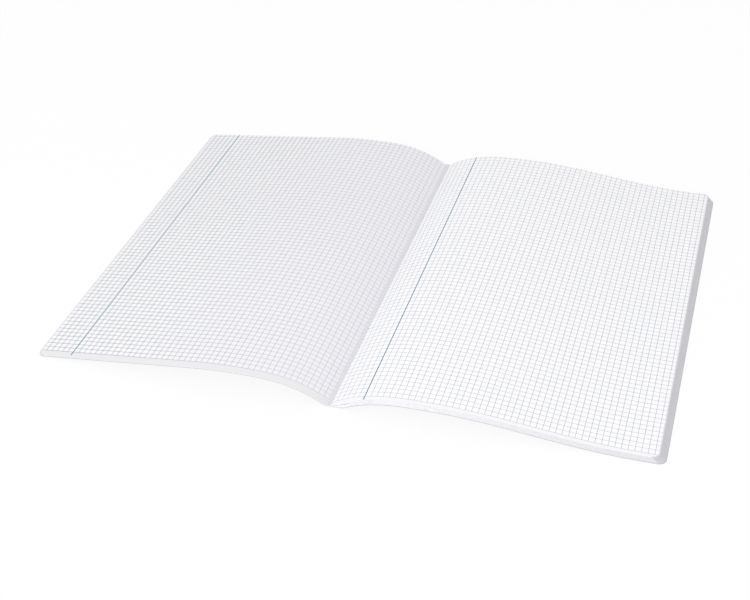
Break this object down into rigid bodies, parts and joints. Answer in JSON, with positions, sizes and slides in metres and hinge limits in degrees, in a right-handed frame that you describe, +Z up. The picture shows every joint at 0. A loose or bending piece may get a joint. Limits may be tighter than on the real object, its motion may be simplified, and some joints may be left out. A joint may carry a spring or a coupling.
{
  "type": "notebook",
  "caption": "Stapled squared-paper notebook lying open near its front; its front cover and first leaves close over the block.",
  "frame": {"origin": "on the table, under the middle of the open spread", "axes": "+X across the spread towards the right page's fore-edge, +Y along the spine towards the head, +Z up"},
  "size_m": [0.412, 0.297, 0.015],
  "materials": {
    "page_paper": "uncoated matt paper, squared",
    "cover_card": "plain matt card",
    "staple_wire": "galvanised steel wire"
  },
  "bodies": {
    "block": {"back_cover": "cover_card", "leaf_40": "page_paper", "leaf_39": "page_paper", "leaf_38": "page_paper", "leaf_37": "page_paper", "sheet_05": "page_paper", "sheet_06": "page_paper", "sheet_07": "page_paper", "sheet_08": "page_paper", "sheet_09": "page_paper", "sheet_10": "page_paper", "sheet_11": "page_paper", "sheet_12": "page_paper", "sheet_13": "page_paper", "sheet_14": "page_paper", "sheet_15": "page_paper", "sheet_16": "page_paper", "sheet_17": "page_paper", "sheet_18": "page_paper", "sheet_19": "page_paper", "sheet_20": "page_paper", "staple_head": "staple_wire", "staple_tail": "staple_wire"},
    "front_spine": {"front_cover_spine": "cover_card", "leaf_01_spine": "page_paper", "leaf_02_spine": "page_paper", "leaf_03_spine": "page_paper", "leaf_04_spine": "page_paper"},
    "front_inner": {"front_cover_inner": "cover_card", "leaf_01_inner": "page_paper", "leaf_02_inner": "page_paper", "leaf_03_inner": "page_paper", "leaf_04_inner": "page_paper"},
    "front_middle": {"front_cover_middle": "cover_card", "leaf_01_middle": "page_paper", "leaf_02_middle": "page_paper", "leaf_03_middle": "page_paper", "leaf_04_middle": "page_paper"},
    "front_outer": {"front_cover_outer": "cover_card", "leaf_01_outer": "page_paper", "leaf_02_outer": "page_paper", "leaf_03_outer": "page_paper", "leaf_04_outer": "page_paper"}
  },
  "joints": [
    {"name": "front_close", "type": "hinge", "parent": "block", "child": "front_spine", "pos_m": [-0.00676, 0, 0.0012], "axis": [0, 1, 0], "range_deg": [0, 124.5]},
    {"name": "inner_flex", "type": "hinge", "parent": "front_spine", "child": "front_inner", "pos_m": [-0.02128, 0, 0.00921], "axis": [0, 1, 0], "range_deg": [0, 25]},
    {"name": "middle_flex", "type": "hinge", "parent": "front_inner", "child": "front_middle", "pos_m": [-0.04535, 0, 0.0145], "axis": [0, 1, 0], "range_deg": [0, 28]},
    {"name": "outer_flex", "type": "hinge", "parent": "front_middle", "child": "front_outer", "pos_m": [-0.07435, 0, 0.01481], "axis": [0, 1, 0], "range_deg": [0, 14]}
  ],
  "couplings": [
    {"joint": "inner_flex", "follows": "front_close", "ratio": 0.2},
    {"joint": "middle_flex", "follows": "front_close", "ratio": 0.224},
    {"joint": "outer_flex", "follows": "front_close", "ratio": 0.11}
  ]
}
